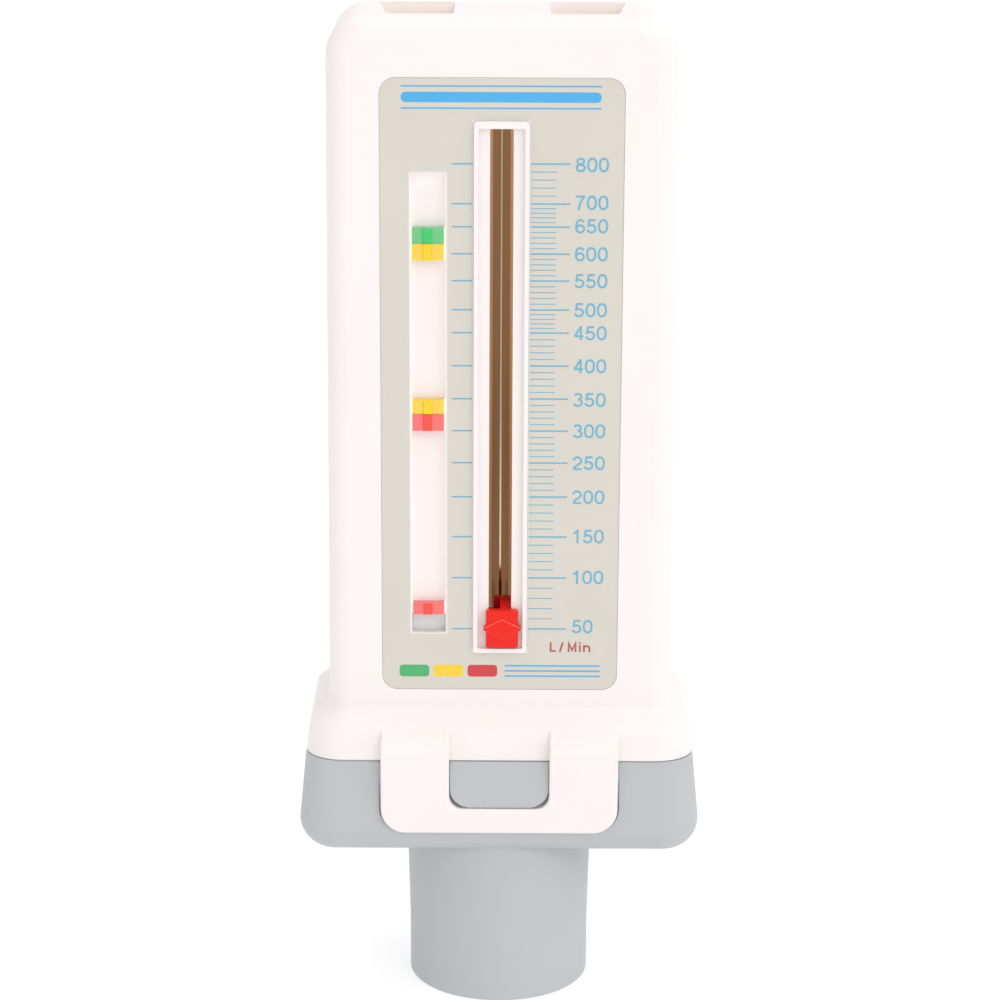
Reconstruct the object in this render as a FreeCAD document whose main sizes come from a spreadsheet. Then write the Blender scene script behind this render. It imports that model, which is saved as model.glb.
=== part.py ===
import FreeCAD, Part
import math
import os
import sys
import Sketcher
from FreeCAD import Vector, Rotation, Placement

# Mechanical peak flow meter. Millimetres. Origin: centre of the mouth tube's rim plane.
# +Z up through the mouth tube and the guide rod, +X right, +Y to the back, scale facing -Y.

doc = FreeCAD.newDocument("peak_flow_meter")
sheet = doc.addObject("Spreadsheet::Sheet", "dims")

DIMS = [
    # overall levels
    ("top_level", 162.5), ("seam_level", 43.15), ("seam_gap", 0.15), ("base_bottom", 26.7),
    # body of the sleeve
    ("body_half_low", 27.75), ("body_half_high", 27.3), ("body_half_depth", 13.0),
    ("body_start", 49.0), ("top_corner_r", 6.3), ("outline_round", 3.4),
    # inside of the sleeve
    ("chamber_half_w", 25.6), ("chamber_half_d", 10.6), ("chamber_corner", 1.6),
    ("chamber_top", 160.5), ("chamber_step", 155.5), ("upper_half_w", 23.0), ("ledge_level", 47.0),
    ("skirt_in_half_w", 29.4), ("skirt_in_half_d", 14.4), ("skirt_in_corner", 4.2),
    # skirt outside at the seam
    ("skirt_half_w", 31.55), ("skirt_half_d", 16.5), ("skirt_corner", 6.2),
    # latch loops
    ("loop_half_w", 19.2), ("loop_outer", 18.5), ("loop_inner", 16.95), ("loop_bottom", 31.25),
    ("loop_corner", 4.0), ("window_half_w", 8.1), ("window_bottom", 35.4), ("window_corner", 2.2),
    ("loop_bend_start", 44.72), ("loop_bend_r", 2.6), ("loop_slope_y", 17.571), ("loop_slope_z", 46.712),
    ("loop_end_y", 14.87), ("loop_end_z", 48.978), ("loop_root_y", 14.6), ("loop_edge_round", 0.35),
    # label recess and films
    ("recess_half_w", 18.98), ("recess_low", 54.08), ("recess_high", 153.2), ("recess_corner", 2.56), ("recess_depth", 0.3),
    ("label_half_w", 18.93), ("label_low", 54.13), ("label_high", 153.15), ("label_corner", 2.51), ("label_thick", 0.2),
    ("rear_half_w", 18.5), ("rear_low", 74.0), ("rear_high", 140.0), ("rear_corner", 2.5), ("rear_gap", 0.2),
    # pointer channel and slot
    ("rim_half_w", 4.32), ("rim_low", 60.5), ("rim_high", 146.5), ("rim_width", 0.7), ("rim_width_top", 1.1), ("rim_face", 13.55),
    ("channel_floor", 12.6), ("slot_half_w", 1.83), ("slot_low", 61.6), ("slot_high", 145.2),
    # marker groove
    ("groove_left", 14.2), ("groove_right", 8.7), ("groove_low", 63.8), ("groove_high", 138.35),
    ("groove_lip", 0.4), ("groove_lip_face", 12.15), ("groove_floor", 11.45),
    # vents in the top
    ("vent_inner", 7.5), ("vent_outer_front", 18.2), ("vent_outer_back", 19.5), ("vent_front", 9.4), ("vent_back", 7.0),
    ("vent_corner", 1.4), ("vent_outer_corner", 2.0),
    # boss for the top of the rod
    ("boss_r", 4.0), ("boss_low", 147.0), ("boss_bore_r", 2.5), ("boss_bore_top", 158.2),
    # base and mouth tube
    ("tube_r", 14.95), ("tube_straight", 9.0), ("tube_root_r", 15.39), ("tube_root_low", 26.35), ("tube_bore_r", 13.2), ("tube_rim_round", 0.5),
    ("tube_seat_r", 14.6), ("tube_seat_high", 28.3),
    ("base_half_w_low", 33.2), ("base_half_d_low", 18.06), ("base_corner_low", 6.6),
    ("base_taper", -5.6),
    ("base_edge_round", 5.0), ("base_top_chamfer", 0.25),
    ("base_in_half_w", 27.0), ("base_in_half_d", 12.0), ("base_in_corner", 2.4), ("base_floor", 29.1), ("rabbet_half_w", 28.2), ("rabbet_half_d", 13.2), ("rabbet_low", 44.7),
    ("collar_half_w", 29.15), ("collar_half_d", 14.15), ("collar_corner", 4.0), ("collar_top", 46.7),
    ("seat_margin", 0.3), ("seat_face", 16.7),
    ("catch_half_w", 8.0), ("catch_bottom", 35.48), ("catch_face", 18.1), ("catch_corner", 3.3), ("catch_round", 0.25),
    ("catch_flush", 16.74), ("catch_ramp_low", 36.2),
    # rod carrier
    ("carrier_half_w", 28.0), ("carrier_half_d", 13.0), ("carrier_corner", 3.0), ("carrier_top", 46.95), ("carrier_in_half_w", 25.2), ("carrier_in_half_d", 10.2),
    ("arm_half", 0.8), ("cup_r", 4.9), ("cup_bore_r", 3.9), ("cup_low", 36.5), ("cup_floor", 38.5), ("cup_top", 54.4),
    ("spigot_r", 2.6), ("spigot_top", 40.2),
    # rod and its fixings
    ("rod_r", 1.5), ("rod_low", 34.8), ("rod_high", 157.8), ("rod_chamfer", 0.3),
    ("clip_r", 3.7), ("clip_thick", 0.5), ("clip_notch", 0.9),
    ("bush_r", 2.5), ("bush_flange_r", 3.6), ("bush_low", 146.0), ("bush_high", 157.9),
    ("upper_buffer_r", 3.3), ("upper_buffer_low", 143.9),
    ("lower_buffer_top", 56.3), ("lower_buffer_bore", 3.5),
    # piston
    ("plate_half_w", 25.25), ("plate_half_d", 10.25), ("plate_corner", 1.3), ("plate_low", 57.5), ("plate_thick", 1.0),
    ("rim_thick", 0.9), ("piston_rim_top", 61.5), ("rib_thick", 0.8), ("rib_top", 59.8),
    ("hub_bore_r", 1.55), ("hub_r", 2.6), ("hub_flange_r", 4.6), ("hub_flange_low", 56.5), ("hub_spigot_low", 54.6), ("hub_top", 64.4),
    ("ring_r", 4.2), ("ring_thick", 0.8),
    # return spring, close wound at rest
    ("spring_mean_r", 2.9), ("spring_wire_r", 0.16), ("spring_low", 38.9), ("spring_pitch", 0.57), ("spring_turns", 30.0),
    # pointer
    ("pointer_shift", 0.35), ("button_half_w", 2.59), ("button_low", 61.5), ("button_high", 67.75),
    ("button_back", 12.7), ("button_front", 14.2), ("button_round", 0.35), ("diamond_half_w", 3.335), ("diamond_mid", 64.8), ("diamond_half_h", 1.74),
    ("diamond_back", 13.1), ("diamond_front", 14.46), ("diamond_tip_r", 0.45),
    ("neck_half_w", 1.4), ("neck_low", 62.6), ("neck_high", 65.9), ("spigot_half_w", 1.0), ("spigot_low", 63.2), ("spigot_high", 65.5),
    ("spigot_front", 13.6), ("socket_gap", 0.04), ("flange_half_w", 2.6), ("flange_low", 61.8), ("flange_high", 66.7),
    ("flange_front", 9.85), ("flange_back", 8.6), ("tongue_high", 68.75), ("wedge_low", 66.55), ("wedge_face", 12.6), ("wedge_front_z", 66.9), ("wedge_right", 1.75),
    ("drag_half_w", 2.3), ("drag_low", 61.95), ("drag_high", 66.4), ("drag_base", 9.9), ("drag_peak", 10.52), ("drag_thick", 0.12),
    # zone markers
    ("marker_left", 13.99), ("marker_right", 8.96), ("marker_face", 12.95), ("marker_step", 12.05), ("marker_back", 11.5), ("marker_foot", 0.4),
    ("marker_rib_left", 12.2), ("marker_rib_right", 10.92), ("marker_rib_face", 13.2),
    ("upper_low", 124.66), ("upper_mid", 127.30), ("upper_high", 129.72),
    ("middle_low", 97.28), ("middle_mid", 100.02), ("middle_high", 102.26),
    ("lower_low", 66.82), ("lower_high", 68.67), ("marker_joint", 0.02),
]

ROW = {}
for number, (alias, value) in enumerate(DIMS, start=1):
    sheet.set("A%d" % number, alias)
    sheet.set("B%d" % number, "%g" % value)
    sheet.setAlias("B%d" % number, alias)
    ROW[alias] = value
doc.recompute()


class Q:
    """A size that carries its value and the expression that gives it."""

    def __init__(self, value, text):
        self.v = float(value)
        self.s = text

    def _pair(self, other):
        return other if isinstance(other, Q) else Q(other, "%.6g" % other)

    def __add__(self, other):
        o = self._pair(other)
        return Q(self.v + o.v, "(%s + %s)" % (self.s, o.s))

    def __radd__(self, other):
        return self._pair(other) + self

    def __sub__(self, other):
        o = self._pair(other)
        return Q(self.v - o.v, "(%s - %s)" % (self.s, o.s))

    def __rsub__(self, other):
        return self._pair(other) - self

    def __mul__(self, other):
        o = self._pair(other)
        return Q(self.v * o.v, "(%s * %s)" % (self.s, o.s))

    def __rmul__(self, other):
        return self._pair(other) * self

    def __neg__(self):
        return Q(-self.v, "(0 - %s)" % self.s)


def d(alias):
    return Q(ROW[alias], "dims." + alias)


def q(x):
    return x if isinstance(x, Q) else Q(x, "%.6g" % x)


NODES = []


def new_body(name):
    body = doc.addObject("PartDesign::Body", "body_" + name)
    body.Label = name
    doc.recompute()
    NODES.append((name, body))
    return body


def origin_plane(body, role):
    return [o for o in body.Origin.OriginFeatures if o.Role == role][0]


def new_sketch(body, name, role, offset):
    """A sketch on one of the body's own origin planes, moved along the world axis that the plane faces."""
    sk = body.newObject("Sketcher::SketchObject", name)
    sk.AttachmentSupport = [(origin_plane(body, role), "")]
    sk.MapMode = "FlatFace"
    off = q(offset)
    if role == "XZ_Plane":
        off = -off
    sk.setExpression("AttachmentOffset.Base.z", off.s)
    doc.recompute()
    return sk


def fix_point(sk, geo, pos, x, y):
    """Holds one end of a sketch line at (x, y), both bound to the sheet."""
    for value, kind, axis in ((q(x), "DistanceX", -2), (q(y), "DistanceY", -1)):
        if abs(value.v) < 1e-9:
            sk.addConstraint(Sketcher.Constraint("PointOnObject", geo, pos, axis))
        elif value.v > 0:
            i = sk.addConstraint(Sketcher.Constraint(kind, -1, 1, geo, pos, value.v))
            sk.setExpression("Constraints[%d]" % i, value.s)
        else:
            i = sk.addConstraint(Sketcher.Constraint(kind, geo, pos, -1, 1, -value.v))
            sk.setExpression("Constraints[%d]" % i, (-value).s)


def draw(sk, points, arcs=None):
    """A closed outline. points are (x, y); arcs maps an edge's index to (radius, side), where
    side is +1 for a centre on the left of the edge's direction and -1 for one on its right."""
    arcs = arcs or {}
    n = len(points)
    ids = []
    for i in range(n):
        ax, ay = q(points[i][0]), q(points[i][1])
        bx, by = q(points[(i + 1) % n][0]), q(points[(i + 1) % n][1])
        a, b = Vector(ax.v, ay.v, 0), Vector(bx.v, by.v, 0)
        if i in arcs:
            radius, side = arcs[i]
            radius = q(radius)
            mid = (a + b) * 0.5
            half = (b - a).Length / 2
            depth = math.sqrt(max(radius.v ** 2 - half ** 2, 0.0))
            left = Vector(-(b - a).y, (b - a).x, 0)
            left.normalize()
            c = mid + left * (depth * side)
            start, end = (a, b) if side > 0 else (b, a)
            a0 = math.atan2(start.y - c.y, start.x - c.x)
            a1 = math.atan2(end.y - c.y, end.x - c.x)
            while a1 <= a0:
                a1 += 2 * math.pi
            g = sk.addGeometry(Part.ArcOfCircle(Part.Circle(c, Vector(0, 0, 1), radius.v), a0, a1), False)
            ids.append((g, 1 if side > 0 else 2, 2 if side > 0 else 1, radius))
        else:
            g = sk.addGeometry(Part.LineSegment(a, b), False)
            ids.append((g, 1, 2, None))
    for i in range(n):
        g, first, last, radius = ids[i]
        g2, first2, last2, radius2 = ids[(i + 1) % n]
        sk.addConstraint(Sketcher.Constraint("Coincident", g, last, g2, first2))
    for i in range(n):
        g, first, last, radius = ids[i]
        fix_point(sk, g, first, points[i][0], points[i][1])
        if radius is not None:
            k = sk.addConstraint(Sketcher.Constraint("Radius", g, radius.v))
            sk.setExpression("Constraints[%d]" % k, radius.s)


def rounded(sk, x0, x1, y0, y1, r=None, corners=(1, 1, 1, 1)):
    """A rectangle with arcs at its corners: lower left, lower right, upper right, upper left."""
    x0, x1, y0, y1 = q(x0), q(x1), q(y0), q(y1)
    if r is None:
        draw(sk, [(x0, y0), (x1, y0), (x1, y1), (x0, y1)])
        return
    r = q(r)
    pts, arcs = [], {}
    for on, corner, first, second in (
        (corners[0], (x0, y0), (x0, y0 + r), (x0 + r, y0)),
        (corners[1], (x1, y0), (x1 - r, y0), (x1, y0 + r)),
        (corners[2], (x1, y1), (x1, y1 - r), (x1 - r, y1)),
        (corners[3], (x0, y1), (x0 + r, y1), (x0, y1 - r)),
    ):
        if on:
            arcs[len(pts)] = (r, 1)
            pts += [first, second]
        else:
            pts.append(corner)
    draw(sk, pts, arcs)


def circle(sk, r, x=0, y=0):
    x, y, r = q(x), q(y), q(r)
    g = sk.addGeometry(Part.Circle(Vector(x.v, y.v, 0), Vector(0, 0, 1), r.v), False)
    if abs(x.v) < 1e-9 and abs(y.v) < 1e-9:
        sk.addConstraint(Sketcher.Constraint("Coincident", g, 3, -1, 1))
    else:
        fix_point(sk, g, 3, x, y)
    k = sk.addConstraint(Sketcher.Constraint("Radius", g, r.v))
    sk.setExpression("Constraints[%d]" % k, r.s)


def volume(body):
    return body.Shape.Volume if body.Tip is not None else 0.0


def fail(message):
    print("FAILED: " + message)
    sys.stdout.flush()
    os._exit(1)


def feature(body, kind, name, sk, length, reverse=False, midplane=False):
    """A Pad or a Pocket of one sketch; the volume has to move the right way."""
    before = volume(body)
    f = body.newObject("PartDesign::" + kind, name)
    f.Profile = sk
    f.setExpression("Length", q(length).s)
    f.Reversed = reverse
    if midplane:
        f.Midplane = True
    doc.recompute()
    after = body.Shape.Volume
    if "Invalid" in f.State or "Error" in f.State or f.Shape.isNull():
        fail("%s %s %s" % (body.Label, name, f.State))
    if kind == "Pad" and after <= before + 1e-6:
        fail("%s %s added nothing" % (body.Label, name))
    if kind == "Pocket" and after >= before - 1e-6:
        fail("%s %s cut nothing" % (body.Label, name))
    return f


def up(body, kind, name, draw_it, z0, length):
    """Pad or Pocket upwards from a sketch at height z0."""
    sk = new_sketch(body, name + "_sketch", "XY_Plane", z0)
    draw_it(sk)
    doc.recompute()
    return feature(body, kind, name, sk, length, reverse=(kind == "Pocket"))


def back(body, kind, name, draw_it, y0, length):
    """Pad or Pocket towards +Y from a sketch in the XZ plane at y0."""
    sk = new_sketch(body, name + "_sketch", "XZ_Plane", y0)
    draw_it(sk)
    doc.recompute()
    return feature(body, kind, name, sk, length, reverse=(kind == "Pad"))


def forward(body, kind, name, draw_it, y0, length):
    """Pad or Pocket towards -Y from a sketch in the XZ plane at y0."""
    sk = new_sketch(body, name + "_sketch", "XZ_Plane", y0)
    draw_it(sk)
    doc.recompute()
    return feature(body, kind, name, sk, length, reverse=(kind == "Pocket"))


def side(body, kind, name, draw_it, x0, length):
    """Pad or Pocket towards +X from a sketch in the YZ plane at x0."""
    sk = new_sketch(body, name + "_sketch", "YZ_Plane", x0)
    draw_it(sk)
    doc.recompute()
    return feature(body, kind, name, sk, length, reverse=(kind == "Pocket"))


def turned(body, name, draw_it):
    """A full turn about Z of a profile drawn in the XZ plane."""
    sk = new_sketch(body, name + "_sketch", "XZ_Plane", 0)
    draw_it(sk)
    doc.recompute()
    f = body.newObject("PartDesign::Revolution", name)
    f.Profile = sk
    f.ReferenceAxis = (sk, ["V_Axis"])
    f.Angle = 360
    doc.recompute()
    if "Invalid" in f.State or f.Shape.isNull():
        fail("%s %s %s" % (body.Label, name, f.State))
    return f


def edges(shape, test):
    found = []
    for i, e in enumerate(shape.Edges, start=1):
        if test(e):
            found.append("Edge%d" % i)
    return found


def dress(body, kind, name, base, names, size, optional=True):
    """A Fillet or Chamfer on named edges. Where the small rounding can't be made it is left off."""
    if not names:
        print("no edges for", body.Label, name)
        return base
    before = body.Shape.Volume
    f = body.newObject("PartDesign::" + kind, name)
    f.Base = (base, names)
    f.setExpression("Radius" if kind == "Fillet" else "Size", q(size).s)
    doc.recompute()
    bad = "Invalid" in f.State or "Error" in f.State or f.Shape.isNull() or not f.Shape.isValid() or len(f.Shape.Solids) != 1
    if bad:
        if not optional:
            fail("%s %s %s" % (body.Label, name, f.State))
        print("left off:", body.Label, name, f.State)
        body.removeObject(f)
        doc.removeObject(f.Name)
        body.Tip = base
        doc.recompute()
        return base
    print("ok:", body.Label, name, len(names), "edges, volume", round(before, 2), "->", round(body.Shape.Volume, 2))
    return f


def tube(body, name, r_out, r_in, z0, z1):
    """A ring about Z, made as one pad of two circles."""
    def both(sk):
        circle(sk, r_out)
        circle(sk, r_in)
    return up(body, "Pad", name, both, z0, z1 - z0)


def lies(e, axis, value, tol=0.02):
    b = e.BoundBox
    lo, hi = ((b.XMin, b.XMax), (b.YMin, b.YMax), (b.ZMin, b.ZMax))[axis]
    return abs(lo - value) < tol and abs(hi - value) < tol


# ------------------------------------------------------------------ housing
housing = new_body("housing")
hl, hh, zt, rc = d("body_half_low"), d("body_half_high"), d("top_level"), d("top_corner_r")
sk = new_sketch(housing, "front_outline", "XZ_Plane", 0)
draw(sk, [(-hl, d("body_start")), (hl, d("body_start")), (hh, zt - rc), (hh - rc, zt), (rc - hh, zt), (-hh, zt - rc)],
     {2: (rc, 1), 4: (rc, 1)})
doc.recompute()
f = feature(housing, "Pad", "sleeve", sk, 2 * d("body_half_depth"), midplane=True)
names = edges(f.Shape, lambda e: (lies(e, 1, 13.0) or lies(e, 1, -13.0)) and not lies(e, 2, ROW["body_start"]))
f = dress(housing, "Fillet", "outline_rounding", f, names, d("outline_round"), optional=False)

# stepped skirt: rounded sections, convex below and concave where it meets the sleeve
SKIRT = [(0.0, 1.0), (1.6, 0.960), (3.0, 0.920), (4.0, 0.880), (4.7, 0.830), (5.2, 0.755), (5.65, 0.640), (6.1, 0.480),
         (6.55, 0.310), (7.0, 0.160), (7.6, 0.045), (8.6, -0.085)]
sections = []
for i, (rise, share) in enumerate(SKIRT):
    sk = new_sketch(housing, "skirt_section_%d" % i, "XY_Plane", d("seam_level") + rise)
    w = d("body_half_low") + (d("skirt_half_w") - d("body_half_low")) * share
    t = d("body_half_depth") + (d("skirt_half_d") - d("body_half_depth")) * share
    r = 3.7 + (d("skirt_corner") - 3.7) * max(share, 0.0)
    rounded(sk, -w, w, -t, t, r)
    sections.append(sk)
doc.recompute()
before = housing.Shape.Volume
loft = housing.newObject("PartDesign::AdditiveLoft", "skirt")
loft.Profile = sections[0]
loft.Sections = sections[1:]
loft.Ruled = False
doc.recompute()
if "Invalid" in loft.State or housing.Shape.Volume <= before:
    fail("skirt loft %s" % loft.State)
print("skirt", housing.Shape.Volume - before, housing.Shape.isValid())


def legs(sk):
    """Side profile of one leg of the front loop and one of the back loop, above the seam."""
    out, root, z0 = d("loop_outer"), d("loop_root_y"), d("seam_level")
    for s in (-1, 1):
        pts = [(s * root, z0), (s * out, z0), (s * out, d("loop_bend_start")),
               (s * d("loop_slope_y"), d("loop_slope_z")), (s * d("loop_end_y"), d("loop_end_z")), (s * root, d("loop_end_z"))]
        draw(sk, pts, {2: (d("loop_bend_r"), 1 if s > 0 else -1)})


side(housing, "Pad", "left_legs", legs, -d("loop_half_w"), d("loop_half_w") - d("window_half_w"))
side(housing, "Pad", "right_legs", legs, d("window_half_w"), d("loop_half_w") - d("window_half_w"))


def loop_outline(sk):
    """U outline of a loop below the seam, seen from the front."""
    w, b, z0 = d("loop_half_w"), d("loop_bottom"), d("seam_level")
    iw, ib, rc1, rc2 = d("window_half_w"), d("window_bottom"), d("loop_corner"), d("window_corner")
    draw(sk, [(-w, z0), (-w, b + rc1), (rc1 - w, b), (w - rc1, b), (w, b + rc1), (w, z0),
              (iw, z0), (iw, ib + rc2), (iw - rc2, ib), (rc2 - iw, ib), (-iw, ib + rc2), (-iw, z0)],
         {1: (rc1, 1), 3: (rc1, 1), 7: (rc2, -1), 9: (rc2, -1)})


back(housing, "Pad", "front_loop", loop_outline, -d("loop_outer"), d("loop_outer") - d("loop_inner"))
f = forward(housing, "Pad", "back_loop", loop_outline, d("loop_outer"), d("loop_outer") - d("loop_inner"))
names = edges(f.Shape, lambda e: (lies(e, 1, 18.5) or lies(e, 1, -18.5)) and e.BoundBox.ZMax < 44.8 and not lies(e, 2, 44.72))
f = dress(housing, "Fillet", "loop_edges", f, names, d("loop_edge_round"))

# inside: skirt, then the chamber that the piston runs in
up(housing, "Pocket", "skirt_inside",
   lambda sk: rounded(sk, -d("skirt_in_half_w"), d("skirt_in_half_w"), -d("skirt_in_half_d"), d("skirt_in_half_d"), d("skirt_in_corner")),
   d("seam_level") - 0.5, d("ledge_level") - d("seam_level") + 0.5)
up(housing, "Pocket", "chamber",
   lambda sk: rounded(sk, -d("chamber_half_w"), d("chamber_half_w"), -d("chamber_half_d"), d("chamber_half_d"), d("chamber_corner")),
   d("ledge_level") - 0.5, d("chamber_step") - d("ledge_level") + 0.5)
up(housing, "Pocket", "upper_chamber",
   lambda sk: rounded(sk, -d("upper_half_w"), d("upper_half_w"), -d("chamber_half_d"), d("chamber_half_d"), d("chamber_corner")),
   d("chamber_step") - 0.5, d("chamber_top") - d("chamber_step") + 0.5)
up(housing, "Pad", "rod_boss", lambda sk: circle(sk, d("boss_r")), d("boss_low"), d("chamber_top") - d("boss_low") + 0.2)
up(housing, "Pocket", "rod_boss_bore", lambda sk: circle(sk, d("boss_bore_r")), d("boss_low") - 0.2, d("boss_bore_top") - d("boss_low") + 0.2)


def vents(sk):
    vi, vf, vb = d("vent_inner"), d("vent_outer_front"), d("vent_outer_back")
    y0, y1, r, ro = d("vent_front"), d("vent_back"), d("vent_corner"), d("vent_outer_corner")
    draw(sk, [(vi, r - y0), (vi + r, -y0), (vf - ro, -y0), (vf, ro - y0), (vb, y1), (vi, y1)],
         {0: (r, 1), 2: (ro, 1)})
    draw(sk, [(-vi, y1), (-vb, y1), (-vf, ro - y0), (ro - vf, -y0), (-vi - r, -y0), (-vi, r - y0)],
         {2: (ro, 1), 4: (r, 1)})


up(housing, "Pocket", "top_vents", vents, d("chamber_top") - 0.5, d("top_level") - d("chamber_top") + 1.0)

# front: label recess, raised rim round the pointer channel, slot, marker groove
hd = d("body_half_depth")
back(housing, "Pocket", "label_recess",
     lambda sk: rounded(sk, -d("recess_half_w"), d("recess_half_w"), d("recess_low"), d("recess_high"), d("recess_corner")),
     -hd - 0.5, d("recess_depth") + 0.5)
forward(housing, "Pad", "channel_rim",
        lambda sk: rounded(sk, -d("rim_half_w"), d("rim_half_w"), d("rim_low"), d("rim_high"), 0.6),
        d("recess_depth") - hd + 0.05, d("rim_face") - hd + d("recess_depth") + 0.05)
back(housing, "Pocket", "channel",
     lambda sk: rounded(sk, d("rim_width") - d("rim_half_w"), d("rim_half_w") - d("rim_width"), d("rim_low") + d("rim_width"), d("rim_high") - d("rim_width_top"), 0.3),
     -d("rim_face") - 0.5, d("rim_face") - d("channel_floor") + 0.5)
back(housing, "Pocket", "slot",
     lambda sk: rounded(sk, -d("slot_half_w"), d("slot_half_w"), d("slot_low"), d("slot_high"), 0.2),
     -d("channel_floor") - 0.5, d("channel_floor") - d("chamber_half_d") + 1.0)
back(housing, "Pocket", "marker_groove",
     lambda sk: rounded(sk, -d("groove_left"), -d("groove_right"), d("groove_low"), d("groove_high"), 0.4),
     -hd, hd - d("groove_floor"))
back(housing, "Pocket", "marker_undercut",
     lambda sk: rounded(sk, -d("groove_left") - d("groove_lip"), d("groove_lip") - d("groove_right"), d("groove_low"), d("groove_high"), 0.4),
     -d("groove_lip_face"), d("groove_lip_face") - d("groove_floor"))
forward(housing, "Pocket", "rear_recess",
        lambda sk: rounded(sk, -d("rear_half_w") - d("rear_gap"), d("rear_half_w") + d("rear_gap"), d("rear_low") - d("rear_gap"), d("rear_high") + d("rear_gap"), d("rear_corner")),
        hd + 0.5, d("recess_depth") + 0.5)

# ------------------------------------------------------------------ films
front_label = new_body("front_label")


def label_outline(sk):
    rounded(sk, -d("label_half_w"), d("label_half_w"), d("label_low"), d("label_high"), d("label_corner"))
    rounded(sk, -d("rim_half_w") - 0.05, d("rim_half_w") + 0.05, d("rim_low") - 0.05, d("rim_high") + 0.05, 0.65)
    rounded(sk, -d("groove_left") - 0.06, 0.06 - d("groove_right"), d("groove_low") - 0.06, d("groove_high") + 0.06, 0.45)


forward(front_label, "Pad", "film", label_outline, d("recess_depth") - hd, d("label_thick"))
rear_label = new_body("rear_label")
back(rear_label, "Pad", "film",
     lambda sk: rounded(sk, -d("rear_half_w"), d("rear_half_w"), d("rear_low"), d("rear_high"), d("rear_corner")),
     hd - d("recess_depth"), d("label_thick"))

# ------------------------------------------------------------------ base with the mouth tube
base = new_body("mouthpiece_base")
sk = new_sketch(base, "flare_outline", "XY_Plane", d("base_bottom"))
rounded(sk, -d("base_half_w_low"), d("base_half_w_low"), -d("base_half_d_low"), d("base_half_d_low"), d("base_corner_low"))
doc.recompute()
f = base.newObject("PartDesign::Pad", "flare")
f.Profile = sk
f.setExpression("Length", (d("seam_level") - d("seam_gap") - d("base_bottom")).s)
f.setExpression("TaperAngle", d("base_taper").s)
doc.recompute()
base_top = ROW["seam_level"] - ROW["seam_gap"]
top_half = max(v.X for v in f.Shape.Vertexes if abs(v.Z - base_top) < 0.01)
print("base half width at the seam", round(top_half, 3), f.State)
if top_half >= ROW["base_half_w_low"]:
    fail("the base flares the wrong way")
names = edges(f.Shape, lambda e: lies(e, 2, ROW["base_bottom"]))
f = dress(base, "Fillet", "bottom_rounding", f, names, d("base_edge_round"), optional=False)
names = edges(f.Shape, lambda e: lies(e, 2, base_top))
f = dress(base, "Chamfer", "seam_edge", f, names, d("base_top_chamfer"))


def seat(sk):
    m = d("seat_margin")
    rounded(sk, -d("loop_half_w") - m, d("loop_half_w") + m, d("loop_bottom") - m, d("seam_level") + 1.0, d("loop_corner") + m, corners=(1, 1, 0, 0))


back(base, "Pocket", "front_seat", seat, -d("loop_outer") - 0.5, d("loop_outer") + 0.5 - d("seat_face"))
forward(base, "Pocket", "back_seat", seat, d("loop_outer") + 0.5, d("loop_outer") + 0.5 - d("seat_face"))


def catch(sk):
    rounded(sk, -d("catch_half_w"), d("catch_half_w"), d("catch_bottom"), d("seam_level") - d("seam_gap"), d("catch_corner"), corners=(1, 1, 0, 0))


back(base, "Pad", "front_catch", catch, -d("catch_face"), d("catch_face") - 15.5)
forward(base, "Pad", "back_catch", catch, d("catch_face"), d("catch_face") - 15.5)


def ramp(s):
    """The catch's face leans in towards the seam, so that the loop rides over it when it is pushed on."""
    def profile(sk):
        face, flush, low, top = d("catch_face"), d("catch_flush"), d("catch_ramp_low"), d("seam_level")
        draw(sk, [(s * face, low), (s * flush, top), (s * (face + 1.0), top), (s * (face + 1.0), low)])
    return profile


side(base, "Pocket", "front_ramp", ramp(-1), -d("catch_half_w") - 0.3, 2 * d("catch_half_w") + 0.6)
f = side(base, "Pocket", "back_ramp", ramp(1), -d("catch_half_w") - 0.3, 2 * d("catch_half_w") + 0.6)
names = edges(f.Shape, lambda e: (lies(e, 1, ROW["catch_face"]) or lies(e, 1, -ROW["catch_face"])) and not lies(e, 2, ROW["catch_ramp_low"]))
f = dress(base, "Fillet", "catch_edges", f, names, d("catch_round"))
up(base, "Pad", "collar",
   lambda sk: rounded(sk, -d("collar_half_w"), d("collar_half_w"), -d("collar_half_d"), d("collar_half_d"), d("collar_corner")),
   d("seam_level") - 0.6, d("collar_top") - d("seam_level") + 0.6)
up(base, "Pocket", "plenum",
   lambda sk: rounded(sk, -d("base_in_half_w"), d("base_in_half_w"), -d("base_in_half_d"), d("base_in_half_d"), d("base_in_corner")),
   d("base_floor"), d("collar_top") - d("base_floor") + 0.5)
up(base, "Pocket", "carrier_rabbet",
   lambda sk: rounded(sk, -d("rabbet_half_w"), d("rabbet_half_w"), -d("rabbet_half_d"), d("rabbet_half_d"), d("base_in_corner") + 0.8),
   d("rabbet_low"), d("collar_top") - d("rabbet_low") + 0.5)
up(base, "Pocket", "tube_seat", lambda sk: circle(sk, d("tube_root_r")), d("base_bottom") - 0.5, d("tube_seat_high") - d("base_bottom") + 0.5)
up(base, "Pocket", "tube_hole", lambda sk: circle(sk, d("tube_seat_r")), d("tube_seat_high") - 0.5, d("base_floor") - d("tube_seat_high") + 1.0)

# ------------------------------------------------------------------ mouth tube
mouth = new_body("mouth_tube")


def tube_profile(sk):
    """A straight lead-in, then a slight taper up to the root in the base."""
    rb, rt, rr, rs = d("tube_bore_r"), d("tube_r"), d("tube_root_r"), d("tube_seat_r")
    draw(sk, [(rb, 0), (rt, 0), (rt, d("tube_straight")), (rr, d("tube_root_low")), (rr, d("tube_seat_high")),
              (rs, d("tube_seat_high")), (rs, d("base_floor")), (rb, d("base_floor"))])


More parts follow.
